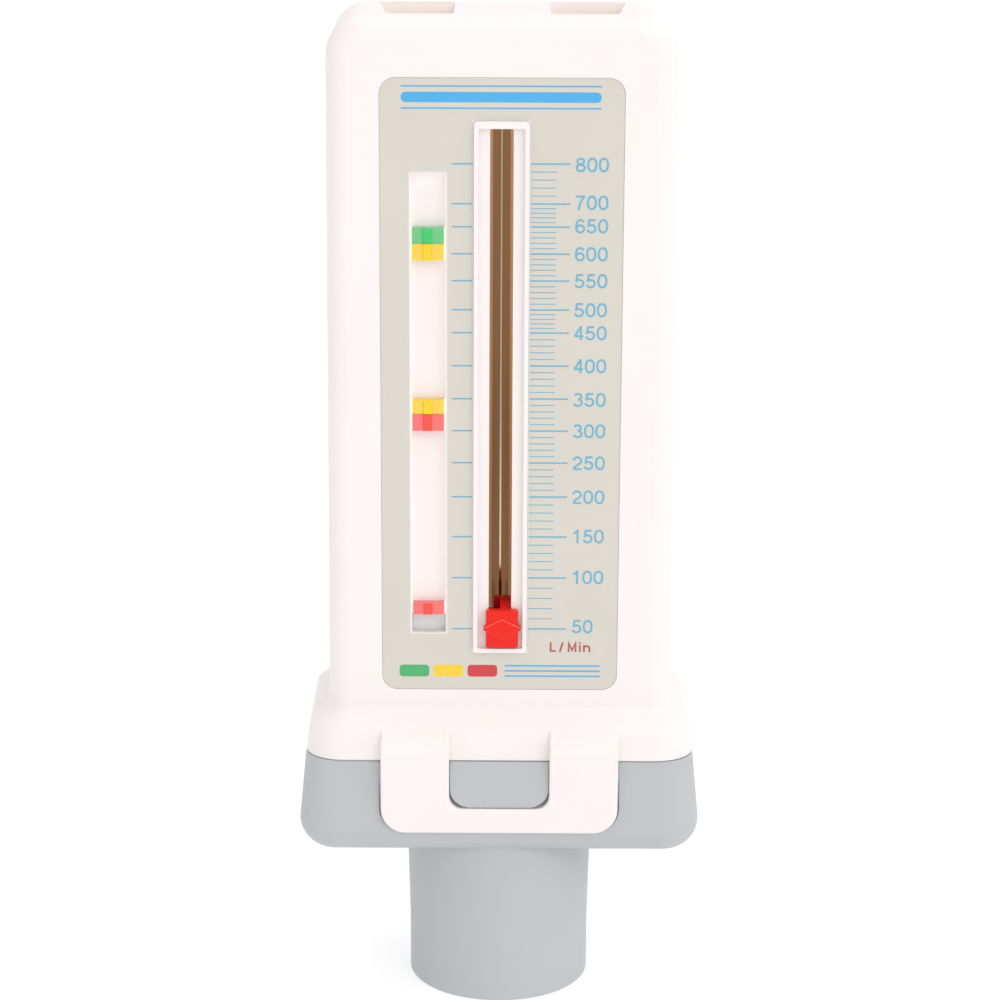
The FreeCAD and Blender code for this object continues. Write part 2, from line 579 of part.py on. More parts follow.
f = turned(mouth, "turned_tube", tube_profile)
names = edges(f.Shape, lambda e: lies(e, 2, 0.0, 0.01))
f = dress(mouth, "Fillet", "rim_rounding", f, names, d("tube_rim_round"))

# ------------------------------------------------------------------ rod carrier
carrier = new_body("rod_carrier")
up(carrier, "Pad", "frame_plate",
   lambda sk: rounded(sk, -d("carrier_half_w"), d("carrier_half_w"), -d("carrier_half_d"), d("carrier_half_d"), d("carrier_corner")),
   d("rabbet_low"), d("carrier_top") - d("rabbet_low"))
up(carrier, "Pocket", "air_way",
   lambda sk: rounded(sk, -d("carrier_in_half_w"), d("carrier_in_half_w"), -d("carrier_in_half_d"), d("carrier_in_half_d"), 1.6),
   d("rabbet_low") - 0.5, d("carrier_top") - d("rabbet_low") + 1.0)
up(carrier, "Pad", "long_arms",
   lambda sk: rounded(sk, -d("carrier_in_half_w") - 0.5, d("carrier_in_half_w") + 0.5, -d("arm_half"), d("arm_half")),
   d("rabbet_low"), d("carrier_top") - d("rabbet_low"))
up(carrier, "Pad", "short_arms",
   lambda sk: rounded(sk, -d("arm_half"), d("arm_half"), -d("carrier_in_half_d") - 0.5, d("carrier_in_half_d") + 0.5),
   d("rabbet_low"), d("carrier_top") - d("rabbet_low"))
up(carrier, "Pad", "spring_cup", lambda sk: circle(sk, d("cup_r")), d("cup_low"), d("cup_top") - d("cup_low"))
up(carrier, "Pocket", "cup_bore", lambda sk: circle(sk, d("cup_bore_r")), d("cup_floor"), d("cup_top") - d("cup_floor") + 0.5)
up(carrier, "Pad", "spring_spigot", lambda sk: circle(sk, d("spigot_r")), d("cup_floor") - 0.2, d("spigot_top") - d("cup_floor") + 0.2)
up(carrier, "Pocket", "rod_hole", lambda sk: circle(sk, d("rod_r")), d("cup_low") - 0.5, d("spigot_top") - d("cup_low") + 1.0)

# ------------------------------------------------------------------ rod and its fixings
rod = new_body("guide_rod")
f = up(rod, "Pad", "bar", lambda sk: circle(sk, d("rod_r")), d("rod_low"), d("rod_high") - d("rod_low"))
names = edges(f.Shape, lambda e: lies(e, 2, ROW["rod_low"]) or lies(e, 2, ROW["rod_high"]))
dress(rod, "Chamfer", "ends", f, names, d("rod_chamfer"))

clip = new_body("rod_lower_clip")
f = tube(clip, "washer", d("clip_r"), d("rod_r"), d("cup_low") - d("clip_thick"), d("cup_low"))
f = up(clip, "Pocket", "notch",
       lambda sk: rounded(sk, d("rod_r") - 0.5, d("clip_r") - 0.8, -d("clip_notch") * 0.5, d("clip_notch") * 0.5),
       d("cup_low") - d("clip_thick") - 0.2, d("clip_thick") + 0.4)
pat = clip.newObject("PartDesign::PolarPattern", "notches")
pat.Originals = [f]
pat.Axis = (origin_plane(clip, "Z_Axis"), [""])
pat.Angle = 360
pat.Occurrences = 4
clip.Tip = pat
doc.recompute()

top_bush = new_body("rod_top_bush")


def bush_profile(sk):
    ri, ro, rf = d("rod_r"), d("bush_r"), d("bush_flange_r")
    a, b, c = d("bush_low"), d("boss_low"), d("bush_high")
    draw(sk, [(ri, a), (rf, a), (rf, b), (ro, b), (ro, c), (ri, c)])


turned(top_bush, "turned_bush", bush_profile)

upper_buffer = new_body("upper_buffer")
tube(upper_buffer, "ring", d("upper_buffer_r"), d("rod_r"), d("upper_buffer_low"), d("bush_low"))
lower_buffer = new_body("lower_buffer")
tube(lower_buffer, "ring", d("cup_r"), d("lower_buffer_bore"), d("cup_top"), d("lower_buffer_top"))

# ------------------------------------------------------------------ piston
plate = new_body("piston_plate")
up(plate, "Pad", "plate",
   lambda sk: rounded(sk, -d("plate_half_w"), d("plate_half_w"), -d("plate_half_d"), d("plate_half_d"), d("plate_corner")),
   d("plate_low"), d("piston_rim_top") - d("plate_low"))
up(plate, "Pocket", "tray",
   lambda sk: rounded(sk, d("rim_thick") - d("plate_half_w"), d("plate_half_w") - d("rim_thick"), d("rim_thick") - d("plate_half_d"), d("plate_half_d") - d("rim_thick"), 0.6),
   d("plate_low") + d("plate_thick"), d("piston_rim_top") - d("plate_low"))
up(plate, "Pad", "long_rib",
   lambda sk: rounded(sk, 0.5 - d("plate_half_w"), d("plate_half_w") - 0.5, -d("rib_thick") * 0.5, d("rib_thick") * 0.5),
   d("plate_low") + 0.5, d("rib_top") - d("plate_low") - 0.5)
up(plate, "Pad", "cross_rib",
   lambda sk: rounded(sk, -d("rib_thick") * 0.5, d("rib_thick") * 0.5, 0.5 - d("plate_half_d"), d("plate_half_d") - 0.5),
   d("plate_low") + 0.5, d("rib_top") - d("plate_low") - 0.5)
up(plate, "Pocket", "ring_room", lambda sk: circle(sk, d("ring_r") + 0.5), d("plate_low") + d("plate_thick"), d("rib_top") - d("plate_low"))
up(plate, "Pocket", "hub_hole", lambda sk: circle(sk, d("hub_r")), d("plate_low") - 0.5, d("plate_thick") + 1.5)

hub = new_body("piston_hub")


def hub_profile(sk):
    rb, rs, rf = d("hub_bore_r"), d("hub_r"), d("hub_flange_r")
    a, b, c, e = d("hub_spigot_low"), d("hub_flange_low"), d("plate_low"), d("hub_top")
    draw(sk, [(rb, a), (rs, a), (rs, b), (rf, b), (rf, c), (rs, c), (rs, e - 0.5), (rs - 0.5, e), (rb, e)])


turned(hub, "turned_hub", hub_profile)
ring = new_body("hub_ring")
tube(ring, "ring", d("ring_r"), d("hub_r"), d("plate_low") + d("plate_thick"), d("plate_low") + d("plate_thick") + d("ring_thick"))

# ------------------------------------------------------------------ return spring: a wound wire
helix = doc.addObject("Part::Helix", "spring_line")
helix.setExpression("Pitch", d("spring_pitch").s)
helix.setExpression("Height", (d("spring_pitch") * d("spring_turns")).s)
helix.setExpression("Radius", d("spring_mean_r").s)
helix.setExpression("Placement.Base.z", d("spring_low").s)
wire = doc.addObject("Part::Circle", "spring_wire")
wire.setExpression("Radius", d("spring_wire_r").s)
wire.Placement = Placement(Vector(ROW["spring_mean_r"], 0, ROW["spring_low"]), Rotation(Vector(1, 0, 0), 90))
wire.setExpression("Placement.Base.x", d("spring_mean_r").s)
wire.setExpression("Placement.Base.z", d("spring_low").s)
spring = doc.addObject("Part::Sweep", "spring_solid")
spring.Sections = [wire]
spring.Spine = (helix, [])
spring.Solid = True
spring.Frenet = True
spring.Label = "return_spring"
doc.recompute()
NODES.append(("return_spring", spring))

# ------------------------------------------------------------------ pointer
px = d("pointer_shift")
carriage = new_body("pointer_carriage")
back(carriage, "Pad", "flange",
     lambda sk: rounded(sk, px - d("flange_half_w"), px + d("flange_half_w"), d("flange_low"), d("flange_high"), 0.3),
     -d("flange_front"), d("flange_front") - d("flange_back"))
back(carriage, "Pad", "tongue",
     lambda sk: rounded(sk, px - d("neck_half_w"), px + d("neck_half_w"), d("flange_high") - 1.0, d("tongue_high"), 0.2),
     -d("flange_front"), d("flange_front") - d("flange_back"))


def wedge(sk):
    a, b, z0 = d("flange_front"), d("wedge_face"), d("wedge_low")
    draw(sk, [(0.3 - a, z0), (-b, z0), (-b, d("wedge_front_z")), (-a, d("tongue_high")), (0.3 - a, d("tongue_high"))])


side(carriage, "Pad", "wedge", wedge, 0.02, d("wedge_right") - 0.02)
back(carriage, "Pad", "neck",
     lambda sk: rounded(sk, px - d("neck_half_w"), px + d("neck_half_w"), d("neck_low"), d("neck_high"), 0.2),
     -d("button_back"), d("button_back") - d("flange_front") + 0.3)
back(carriage, "Pad", "spigot",
     lambda sk: rounded(sk, px - d("spigot_half_w"), px + d("spigot_half_w"), d("spigot_low"), d("spigot_high")),
     -d("spigot_front"), d("spigot_front") - d("button_back") + 0.3)

button = new_body("pointer_button")
f = back(button, "Pad", "block",
         lambda sk: rounded(sk, px - d("button_half_w"), px + d("button_half_w"), d("button_low"), d("button_high"), d("button_round")),
         -d("button_front"), d("button_front") - d("button_back"))
names = edges(f.Shape, lambda e: lies(e, 1, -ROW["button_front"]))
f = dress(button, "Fillet", "face_rounding", f, names, 0.3)


def diamond(sk):
    w, m, h, r = d("diamond_half_w"), d("diamond_mid"), d("diamond_half_h"), d("diamond_tip_r")
    # blunt tips: the sides stop short of the point and an arc joins them
    cut = 0.42
    rise = 0.27
    draw(sk, [(px, m - h), (px + w - cut, m - rise), (px + w - cut, m + rise), (px, m + h), (px - w + cut, m + rise), (px - w + cut, m - rise)],
         {1: (r, 1), 4: (r, 1)})


f = back(button, "Pad", "diamond", diamond, -d("diamond_front"), d("diamond_front") - d("diamond_back"))
names = edges(f.Shape, lambda e: lies(e, 1, -ROW["diamond_front"]))
f = dress(button, "Fillet", "diamond_rounding", f, names, 0.15)
gap = d("socket_gap")
forward(button, "Pocket", "socket",
        lambda sk: rounded(sk, px - d("spigot_half_w") - gap, px + d("spigot_half_w") + gap, d("spigot_low") - gap, d("spigot_high") + gap),
        0.5 - d("button_back"), d("spigot_front") - d("button_back") + gap + 0.5)

drag = new_body("pointer_drag_spring")


def bow(sk):
    a, b, y0, y1, t = d("drag_low"), d("drag_high"), d("drag_base"), d("drag_peak"), d("drag_thick")
    half = (b.v - a.v) / 2
    sag = y1.v - y0.v - t.v
    big = (half ** 2 + (sag + t.v) ** 2) / (2 * (sag + t.v))
    small = (half ** 2 + sag ** 2) / (2 * sag)
    # outer face bows to the wall, inner face follows it one thickness behind
    draw(sk, [(-y0 - t, a), (-y0 - t, b), (-y0, b), (-y0, a)], {0: (Q(small, "%.6f" % small), -1), 2: (Q(small, "%.6f" % small), 1)})


side(drag, "Pad", "bowed_strip", bow, px - d("drag_half_w"), 2 * d("drag_half_w"))
back(drag, "Pocket", "neck_window",
     lambda sk: rounded(sk, px - d("neck_half_w") - 0.08, px + d("neck_half_w") + 0.08, d("neck_low") - 0.1, d("neck_high") + 0.1),
     -d("drag_peak") - 0.5, 2.0)


# ------------------------------------------------------------------ zone markers
def marker(name, z0, z1):
    b = new_body(name)
    foot, x0, x1 = d("marker_foot"), -d("marker_left"), -d("marker_right")
    f = back(b, "Pad", "foot", lambda sk: rounded(sk, x0 - foot, x1 + foot, z0, z1), -d("marker_step"), d("marker_step") - d("marker_back"))
    f = back(b, "Pad", "face", lambda sk: rounded(sk, x0, x1, z0, z1), -d("marker_face"), d("marker_face") - d("marker_step") + 0.2)
    f = back(b, "Pad", "grip", lambda sk: rounded(sk, -d("marker_rib_left"), -d("marker_rib_right"), z0, z1), -d("marker_rib_face"),
             d("marker_rib_face") - d("marker_face") + 0.2)
    names = edges(f.Shape, lambda e: lies(e, 1, -ROW["marker_rib_face"]))
    f = dress(b, "Fillet", "grip_rounding", f, names, 0.1)
    return b


j = d("marker_joint")
marker("upper_marker_green", d("upper_mid") + j, d("upper_high"))
marker("upper_marker_yellow", d("upper_low"), d("upper_mid") - j)
marker("middle_marker_yellow", d("middle_mid") + j, d("middle_high"))
marker("middle_marker_red", d("middle_low"), d("middle_mid") - j)
marker("lower_marker_red", d("lower_low"), d("lower_high"))

# ------------------------------------------------------------------ check and write
doc.recompute()
for obj in doc.Objects:
    if "Invalid" in obj.State or "Error" in obj.State:
        fail("%s is %s" % (obj.Label, obj.State))
os.makedirs("parts", exist_ok=True)
for name, obj in NODES:
    shape = obj.Shape
    if shape.isNull() or not shape.isValid() or not shape.Solids:
        fail("%s has no valid solid" % name)
for name, obj in NODES:
    shape = obj.Shape
    shape.exportStep(os.path.join("parts", name + ".step"))
    b = shape.BoundBox
    print("%-22s solids %d vol %9.2f  x %7.2f %7.2f  y %7.2f %7.2f  z %7.2f %7.2f" % (
        name, len(shape.Solids), shape.Volume, b.XMin, b.XMax, b.YMin, b.YMax, b.ZMin, b.ZMax))
print("nodes", len(NODES))
sys.stdout.flush()
os._exit(0)
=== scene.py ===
import math

import bmesh
import bpy
import numpy as np
from mathutils import Matrix, Vector


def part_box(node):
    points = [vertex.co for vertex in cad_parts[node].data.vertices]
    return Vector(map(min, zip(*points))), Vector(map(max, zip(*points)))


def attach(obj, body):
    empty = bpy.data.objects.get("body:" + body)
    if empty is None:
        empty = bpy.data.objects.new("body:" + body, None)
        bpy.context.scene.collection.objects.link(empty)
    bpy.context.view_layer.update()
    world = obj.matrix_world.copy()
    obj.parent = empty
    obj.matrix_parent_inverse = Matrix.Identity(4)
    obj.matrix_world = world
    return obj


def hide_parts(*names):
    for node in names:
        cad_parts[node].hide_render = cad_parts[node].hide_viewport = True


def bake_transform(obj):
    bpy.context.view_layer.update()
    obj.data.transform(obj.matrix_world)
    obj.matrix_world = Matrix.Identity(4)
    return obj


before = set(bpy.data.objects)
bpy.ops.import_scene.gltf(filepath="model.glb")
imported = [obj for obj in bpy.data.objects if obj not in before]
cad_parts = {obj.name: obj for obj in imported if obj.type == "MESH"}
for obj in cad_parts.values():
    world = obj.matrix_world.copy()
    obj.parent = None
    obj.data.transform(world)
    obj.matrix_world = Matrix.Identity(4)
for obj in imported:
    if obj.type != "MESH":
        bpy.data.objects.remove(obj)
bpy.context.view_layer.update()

# Everything below is in the row frame. Sizes are written in millimetres and turned into metres by mm().
MM = 0.001


def mm(*values):
    return tuple(v * MM for v in values) if len(values) > 1 else values[0] * MM


def linear(r, g, b):
    """A colour given as 0..255 display values, as the shader's linear values."""
    out = []
    for c in (r, g, b):
        c /= 255.0
        out.append(c / 12.92 if c <= 0.04045 else ((c + 0.055) / 1.055) ** 2.4)
    return tuple(out)


# ---------------------------------------------------------------- shader building blocks
class Shader:
    """A small wrapper for one node-based material."""

    def __init__(self, name):
        self.mat = bpy.data.materials.new(name)
        self.mat.use_nodes = True
        self.nt = self.mat.node_tree
        self.bsdf = self.nt.nodes["Principled BSDF"]
        coord = self.nt.nodes.new("ShaderNodeTexCoord")
        self.where = coord.outputs["Object"]
        self._xyz = None

    def link(self, a, b):
        self.nt.links.new(a, b)
        return self

    def put(self, socket, value):
        if hasattr(value, "is_output"):
            self.link(value, socket)
        elif isinstance(value, (tuple, list)) and len(value) == 3 and socket.type == "RGBA":
            socket.default_value = (*value, 1.0)
        else:
            socket.default_value = value

    def xyz(self):
        if self._xyz is None:
            n = self.nt.nodes.new("ShaderNodeSeparateXYZ")
            self.link(self.where, n.inputs[0])
            self._xyz = n.outputs
        return self._xyz

    def math(self, kind, a, b=0.0, c=0.0, clamp=False):
        n = self.nt.nodes.new("ShaderNodeMath")
        n.operation = kind
        n.use_clamp = clamp
        self.put(n.inputs[0], a)
        self.put(n.inputs[1], b)
        self.put(n.inputs[2], c)
        return n.outputs[0]

    def ramp(self, value, low, high, out_low=0.0, out_high=1.0, smooth=True):
        n = self.nt.nodes.new("ShaderNodeMapRange")
        n.interpolation_type = "SMOOTHSTEP" if smooth else "LINEAR"
        n.clamp = True
        self.put(n.inputs["Value"], value)
        n.inputs["From Min"].default_value = low
        n.inputs["From Max"].default_value = high
        n.inputs["To Min"].default_value = out_low
        n.inputs["To Max"].default_value = out_high
        return n.outputs["Result"]

    def mix(self, factor, a, b):
        n = self.nt.nodes.new("ShaderNodeMix")
        n.data_type = "RGBA"
        self.put(n.inputs[0], factor)
        self.put(n.inputs[6], a)
        self.put(n.inputs[7], b)
        return n.outputs[2]

    def noise(self, scale, detail=2.0, roughness=0.5, stretch=(1.0, 1.0, 1.0)):
        mapping = self.nt.nodes.new("ShaderNodeMapping")
        mapping.inputs["Scale"].default_value = stretch
        self.link(self.where, mapping.inputs["Vector"])
        n = self.nt.nodes.new("ShaderNodeTexNoise")
        self.link(mapping.outputs["Vector"], n.inputs["Vector"])
        n.inputs["Scale"].default_value = scale
        n.inputs["Detail"].default_value = detail
        n.inputs["Roughness"].default_value = roughness
        return n.outputs["Fac"]

    def tint(self, colour, amount, scale, detail=2.0, stretch=(1.0, 1.0, 1.0)):
        """colour, a little lighter and darker from place to place."""
        f = self.noise(scale, detail, 0.5, stretch)
        gain = self.ramp(f, 0.3, 0.7, 1.0 - amount, 1.0 + amount * 0.4, smooth=False)
        n = self.nt.nodes.new("ShaderNodeVectorMath")
        n.operation = "SCALE"
        if isinstance(colour, tuple):
            rgb = self.nt.nodes.new("ShaderNodeRGB")
            rgb.outputs[0].default_value = (*colour, 1.0)
            colour = rgb.outputs[0]
        self.link(colour, n.inputs[0])
        self.link(gain, n.inputs["Scale"])
        return n.outputs[0]

    def surface(self, colour, rough, metal=0.0, rough_swing=0.04, rough_scale=400.0, specular=0.5,
                bump_scale=2500.0, bump_depth=0.0, bump_stretch=(1.0, 1.0, 1.0), rough_stretch=(1.0, 1.0, 1.0)):
        b = self.bsdf.inputs
        self.put(b["Base Color"], colour)
        b["Metallic"].default_value = metal
        b["Specular IOR Level"].default_value = specular
        f = self.noise(rough_scale, 3.0, 0.55, rough_stretch)
        self.link(self.ramp(f, 0.3, 0.7, rough - rough_swing, rough + rough_swing, smooth=False), b["Roughness"])
        if bump_depth > 0:
            g = self.noise(bump_scale, 2.0, 0.5, bump_stretch)
            n = self.nt.nodes.new("ShaderNodeBump")
            n.inputs["Strength"].default_value = 1.0
            n.inputs["Distance"].default_value = bump_depth
            self.link(g, n.inputs["Height"])
            self.link(n.outputs["Normal"], b["Normal"])
        return self


def glow(s, colour):
    """Emission, fitted by mean colour: a stand-in for light through thin walls, not a measured property."""
    s.put(s.bsdf.inputs["Emission Color"], colour)
    s.bsdf.inputs["Emission Strength"].default_value = 1.0


def inside_box(s, x_half, y_half, z_low, z_high, soft=0.00005):
    """1 inside the box |x| < x_half, |y| < y_half, z_low < z < z_high, 0 outside it."""
    x, y, z = s.xyz()
    fx = s.ramp(s.math("ABSOLUTE", x), x_half - soft, x_half + soft, 1.0, 0.0, smooth=False)
    fy = s.ramp(s.math("ABSOLUTE", y), y_half - soft, y_half + soft, 1.0, 0.0, smooth=False)
    f1 = s.ramp(z, z_low - soft, z_low + soft, 0.0, 1.0, smooth=False)
    f2 = s.ramp(z, z_high - soft, z_high + soft, 1.0, 0.0, smooth=False)
    return s.math("MULTIPLY", s.math("MULTIPLY", fx, fy), s.math("MULTIPLY", f1, f2))


# ---------------------------------------------------------------- materials
def housing_material():
    s = Shader("white_moulding")
    x, y, z = s.xyz()
    white = s.tint((0.830, 0.776, 0.766), 0.012, 45.0)
    # painted shade and light: the chamber behind the slot is coloured warm and darker lower down, and pale near the
    # vents where light comes in
    depth = s.ramp(z, 0.060, 0.142, 0.0, 1.0, smooth=False)
    lower = s.mix(depth, (0.36, 0.20, 0.09), (0.48, 0.33, 0.21))
    near_top = s.ramp(z, 0.1500, 0.1602, 0.0, 1.0)
    painted_chamber_shade = s.mix(near_top, lower, (0.82, 0.75, 0.66))
    chamber = s.math("MAXIMUM", inside_box(s, 0.02575, 0.01075, 0.0471, 0.15565), inside_box(s, 0.02315, 0.01075, 0.1554, 0.16065))
    colour = s.mix(chamber, white, painted_chamber_shade)
    # cool shade where the floor of the marker groove ends
    gx = s.math("ABSOLUTE", s.math("ADD", x, 0.01145))
    groove = s.math("MULTIPLY", s.ramp(gx, 0.0031, 0.0034, 1.0, 0.0), s.ramp(z, 0.0633, 0.0637, 0.0, 1.0))
    groove = s.math("MULTIPLY", groove, s.ramp(z, 0.1385, 0.1389, 1.0, 0.0))
    groove = s.math("MULTIPLY", groove, s.ramp(y, -0.01290, -0.01265, 0.0, 1.0))
    groove = s.math("MULTIPLY", groove, s.ramp(y, -0.0112, -0.0110, 1.0, 0.0))
    patch = s.math("MULTIPLY", groove, s.ramp(z, 0.0660, 0.0676, 1.0, 0.0))
    colour = s.mix(s.math("MULTIPLY", patch, 0.55), colour, (0.52, 0.60, 0.60))
    s.surface(colour, 0.36, rough_swing=0.035, rough_scale=260.0, specular=0.40, bump_scale=3200.0, bump_depth=0.000004)
    # painted light: glow that stands in for light let in by the thin walls, faint on the outside, warm in the chamber,
    # pale on the edges of the vents
    ax = s.math("ABSOLUTE", x)
    through = s.mix(depth, (0.140, 0.052, 0.010), (0.165, 0.112, 0.070))
    # painted light: brighter to each side of the slot's middle, and brighter still further out and higher up, where the
    # rod reflects the walls
    through = s.mix(s.ramp(ax, 0.0012, 0.0020), through, (0.195, 0.130, 0.080))
    wide = s.mix(s.ramp(z, 0.078, 0.104), (0.215, 0.145, 0.092), (0.360, 0.260, 0.180))
    through = s.mix(s.ramp(ax, 0.0022, 0.0028), through, wide)
    through = s.mix(near_top, through, (0.20, 0.185, 0.165))
    light = s.mix(chamber, (0.025, 0.023, 0.023), through)
    # painted light: the groove's floor glows, more towards its edges and its top end
    border = s.math("MAXIMUM", s.ramp(gx, 0.0017, 0.0027, 0.0, 1.0), s.ramp(z, 0.1345, 0.1384, 0.0, 1.0))
    floor_light = s.mix(border, (0.028, 0.018, 0.016), (0.110, 0.100, 0.098))
    light = s.mix(s.math("MULTIPLY", groove, s.math("SUBTRACT", 1.0, patch)), light, floor_light)
    # painted light: the groove's side walls glow brighter than its floor, fitted to the pale border seen there
    wall = s.math("MULTIPLY", s.ramp(gx, 0.00272, 0.00274, 0.0, 1.0), s.ramp(gx, 0.00290, 0.00295, 1.0, 0.0))
    wall = s.math("MULTIPLY", wall, s.math("MULTIPLY", s.ramp(y, -0.01299, -0.01296, 0.0, 1.0), s.ramp(y, -0.0121, -0.0120, 1.0, 0.0)))
    wall = s.math("MULTIPLY", wall, s.math("MULTIPLY", s.ramp(z, 0.0634, 0.0637, 0.0, 1.0), s.ramp(z, 0.1385, 0.1388, 1.0, 0.0)))
    light = s.mix(wall, light, (0.42, 0.40, 0.39))
    # painted light: the walls of the vents glow pale, more towards the top
    vent = s.math("MULTIPLY", s.ramp(ax, 0.00730, 0.00740, 0.0, 1.0), s.ramp(ax, 0.0196, 0.0197, 1.0, 0.0))
    vent = s.math("MULTIPLY", vent, s.math("MULTIPLY", s.ramp(y, -0.00950, -0.00945, 0.0, 1.0), s.ramp(y, 0.00705, 0.00710, 1.0, 0.0)))
    vent = s.math("MULTIPLY", vent, s.math("MULTIPLY", s.ramp(z, 0.16045, 0.16055, 0.0, 1.0), s.ramp(z, 0.16240, 0.16246, 1.0, 0.0)))
    pale = s.mix(s.ramp(z, 0.1606, 0.1622, 0.0, 1.0, smooth=False), (0.09, 0.110, 0.100), (0.14, 0.160, 0.165))
    glow(s, s.mix(vent, light, pale))
    return s.mat


def film_material(name, colour, groove=False):
    s = Shader(name)
    x, y, z = s.xyz()
    base = s.tint(colour, 0.02, 70.0)
    if groove:
        # the colour fades to white around the marker groove
        dx = s.math("MAXIMUM", s.math("SUBTRACT", s.math("ABSOLUTE", s.math("ADD", x, 0.01145)), 0.00272), 0.0)
        dz = s.math("MAXIMUM", s.math("SUBTRACT", s.math("ABSOLUTE", s.math("SUBTRACT", z, 0.101075)), 0.037275), 0.0)
        away = s.math("SQRT", s.math("ADD", s.math("MULTIPLY", dx, dx), s.math("MULTIPLY", dz, dz)))
        base = s.mix(s.ramp(away, 0.0, 0.00042, 1.0, 0.0), base, (0.80, 0.775, 0.755))
        # and, more narrowly, around the raised rim of the pointer channel, where the paler colour is painted light that
        # lifts the shade at the rim's foot
        dx = s.math("MAXIMUM", s.math("SUBTRACT", s.math("ABSOLUTE", x), 0.00432), 0.0)
        dz = s.math("MAXIMUM", s.math("SUBTRACT", s.math("ABSOLUTE", s.math("SUBTRACT", z, 0.1035)), 0.0430), 0.0)
        away = s.math("SQRT", s.math("ADD", s.math("MULTIPLY", dx, dx), s.math("MULTIPLY", dz, dz)))
        base = s.mix(s.ramp(away, 0.0, 0.00034, 0.8, 0.0), base, (0.80, 0.775, 0.755))
    s.surface(base, 0.44, rough_swing=0.05, rough_scale=900.0, bump_scale=5200.0, bump_depth=0.0000025)
    return s.mat


def grey_material():
    s = Shader("grey_moulding")
    base = s.tint((0.482, 0.491, 0.509), 0.02, 55.0)
    s.surface(base, 0.46, rough_swing=0.045, rough_scale=350.0, specular=0.18, bump_scale=3600.0, bump_depth=0.000006)
    return s.mat


def plain_plastic(name, colour, rough, tint=0.02, specular=0.5, bump=0.000004):
    s = Shader(name)
    s.surface(s.tint(colour, tint, 160.0), rough, rough_swing=0.04, rough_scale=500.0, specular=specular,
              bump_scale=3000.0, bump_depth=bump)
    return s.mat


def button_material():
    """The button's red, with painted highlights: the light lines seen along the raised diamond's edges are drawn as
    paler colour.
    """
    s = Shader("red_moulding")
    x, y, z = s.xyz()
    ax = s.math("ABSOLUTE", s.math("SUBTRACT", x, 0.00035))
    up = s.math("SUBTRACT", z, 0.0648)
    ring = s.math("ADD", s.math("MULTIPLY", ax, 1 / 0.003335), s.math("MULTIPLY", s.math("ABSOLUTE", up), 1 / 0.00174))
    line = s.math("MULTIPLY", s.ramp(ring, 0.885, 0.945, 0.0, 1.0), s.ramp(ring, 0.985, 1.045, 1.0, 0.0))
    line = s.math("MULTIPLY", line, s.ramp(y, -0.01432, -0.01424, 1.0, 0.0))
    line = s.math("MULTIPLY", line, s.ramp(up, -0.0002, 0.0002, 0.35, 1.0))
    line = s.math("MULTIPLY", line, s.ramp(ax, 0.0027, 0.0030, 1.0, 0.0))
    red = s.mix(s.math("MULTIPLY", line, 0.8), (0.80, 0.013, 0.006), (0.94, 0.135, 0.095))
    s.surface(s.tint(red, 0.02, 160.0), 0.34, rough_swing=0.04, rough_scale=500.0, specular=0.28,
              bump_scale=3000.0, bump_depth=0.000004)
    return s.mat


def slider_material():
    """The slider's red, with the light and dark seen on it in the slot drawn as colour, not left to the lamps."""
    s = Shader("red_slider")
    x, y, z = s.xyz()
    wedge = s.math("MULTIPLY", s.ramp(x, 0.00000, 0.00008, 0.0, 1.0), s.ramp(y, -0.0105, -0.0100, 1.0, 0.0))
    lit = s.mix(s.ramp(z, 0.0668, 0.0686), (0.95, 0.014, 0.010), (0.44, 0.004, 0.003))
    red = s.mix(wedge, (0.36, 0.002, 0.0015), lit)
    s.surface(s.tint(red, 0.02, 160.0), 0.46, rough_swing=0.04, rough_scale=500.0, specular=0.10,
              bump_scale=3000.0, bump_depth=0.000004)
    return s.mat


def marker_material(name, wing, rib, foot):
    """A moulded tab whose thin wings let light through and whose raised rib is a fuller colour."""
    s = Shader(name)
    x, y, z = s.xyz()
    gx = s.math("ABSOLUTE", s.math("ADD", x, 0.01156))
    in_rib = s.math("MULTIPLY", s.ramp(gx, 0.00065, 0.00070, 1.0, 0.0), s.ramp(y, -0.01298, -0.01290, 1.0, 0.0))
    side = s.ramp(s.noise(900.0, 2.0), 0.35, 0.65, 0.0, 0.12)
    wing_c = s.mix(side, wing, foot)
    # painted light: pale, glowing edges, which hide the dark gap beside each tab that the photograph does not show
    edge = s.ramp(s.math("ABSOLUTE", s.math("ADD", x, 0.011475)), 0.00249, 0.00252, 0.0, 1.0)
    wing_c = s.mix(s.math("MULTIPLY", edge, 0.7), wing_c, (0.86, 0.83, 0.81))
    glow(s, s.mix(edge, (0.0, 0.0, 0.0), (0.34, 0.33, 0.32)))
    s.surface(s.mix(in_rib, wing_c, rib), 0.34, rough_swing=0.04, rough_scale=700.0, specular=0.3, bump_scale=4200.0, bump_depth=0.000003)
    s.bsdf.inputs["Subsurface Weight"].default_value = 0.25
    s.bsdf.inputs["Subsurface Radius"].default_value = (0.6, 0.6, 0.6)
    s.bsdf.inputs["Subsurface Scale"].default_value = 0.0006
    return s.mat


def steel_material(name, colour, rough, swing, along=True):
    s = Shader(name)
    stretch = (1.0, 1.0, 0.02) if along else (1.0, 1.0, 1.0)
    s.surface(s.tint(colour, 0.05, 900.0, stretch=stretch), rough, metal=1.0, rough_swing=swing, rough_scale=2600.0,
              bump_scale=5000.0, bump_depth=0.0000006, bump_stretch=stretch, rough_stretch=stretch)
    return s.mat


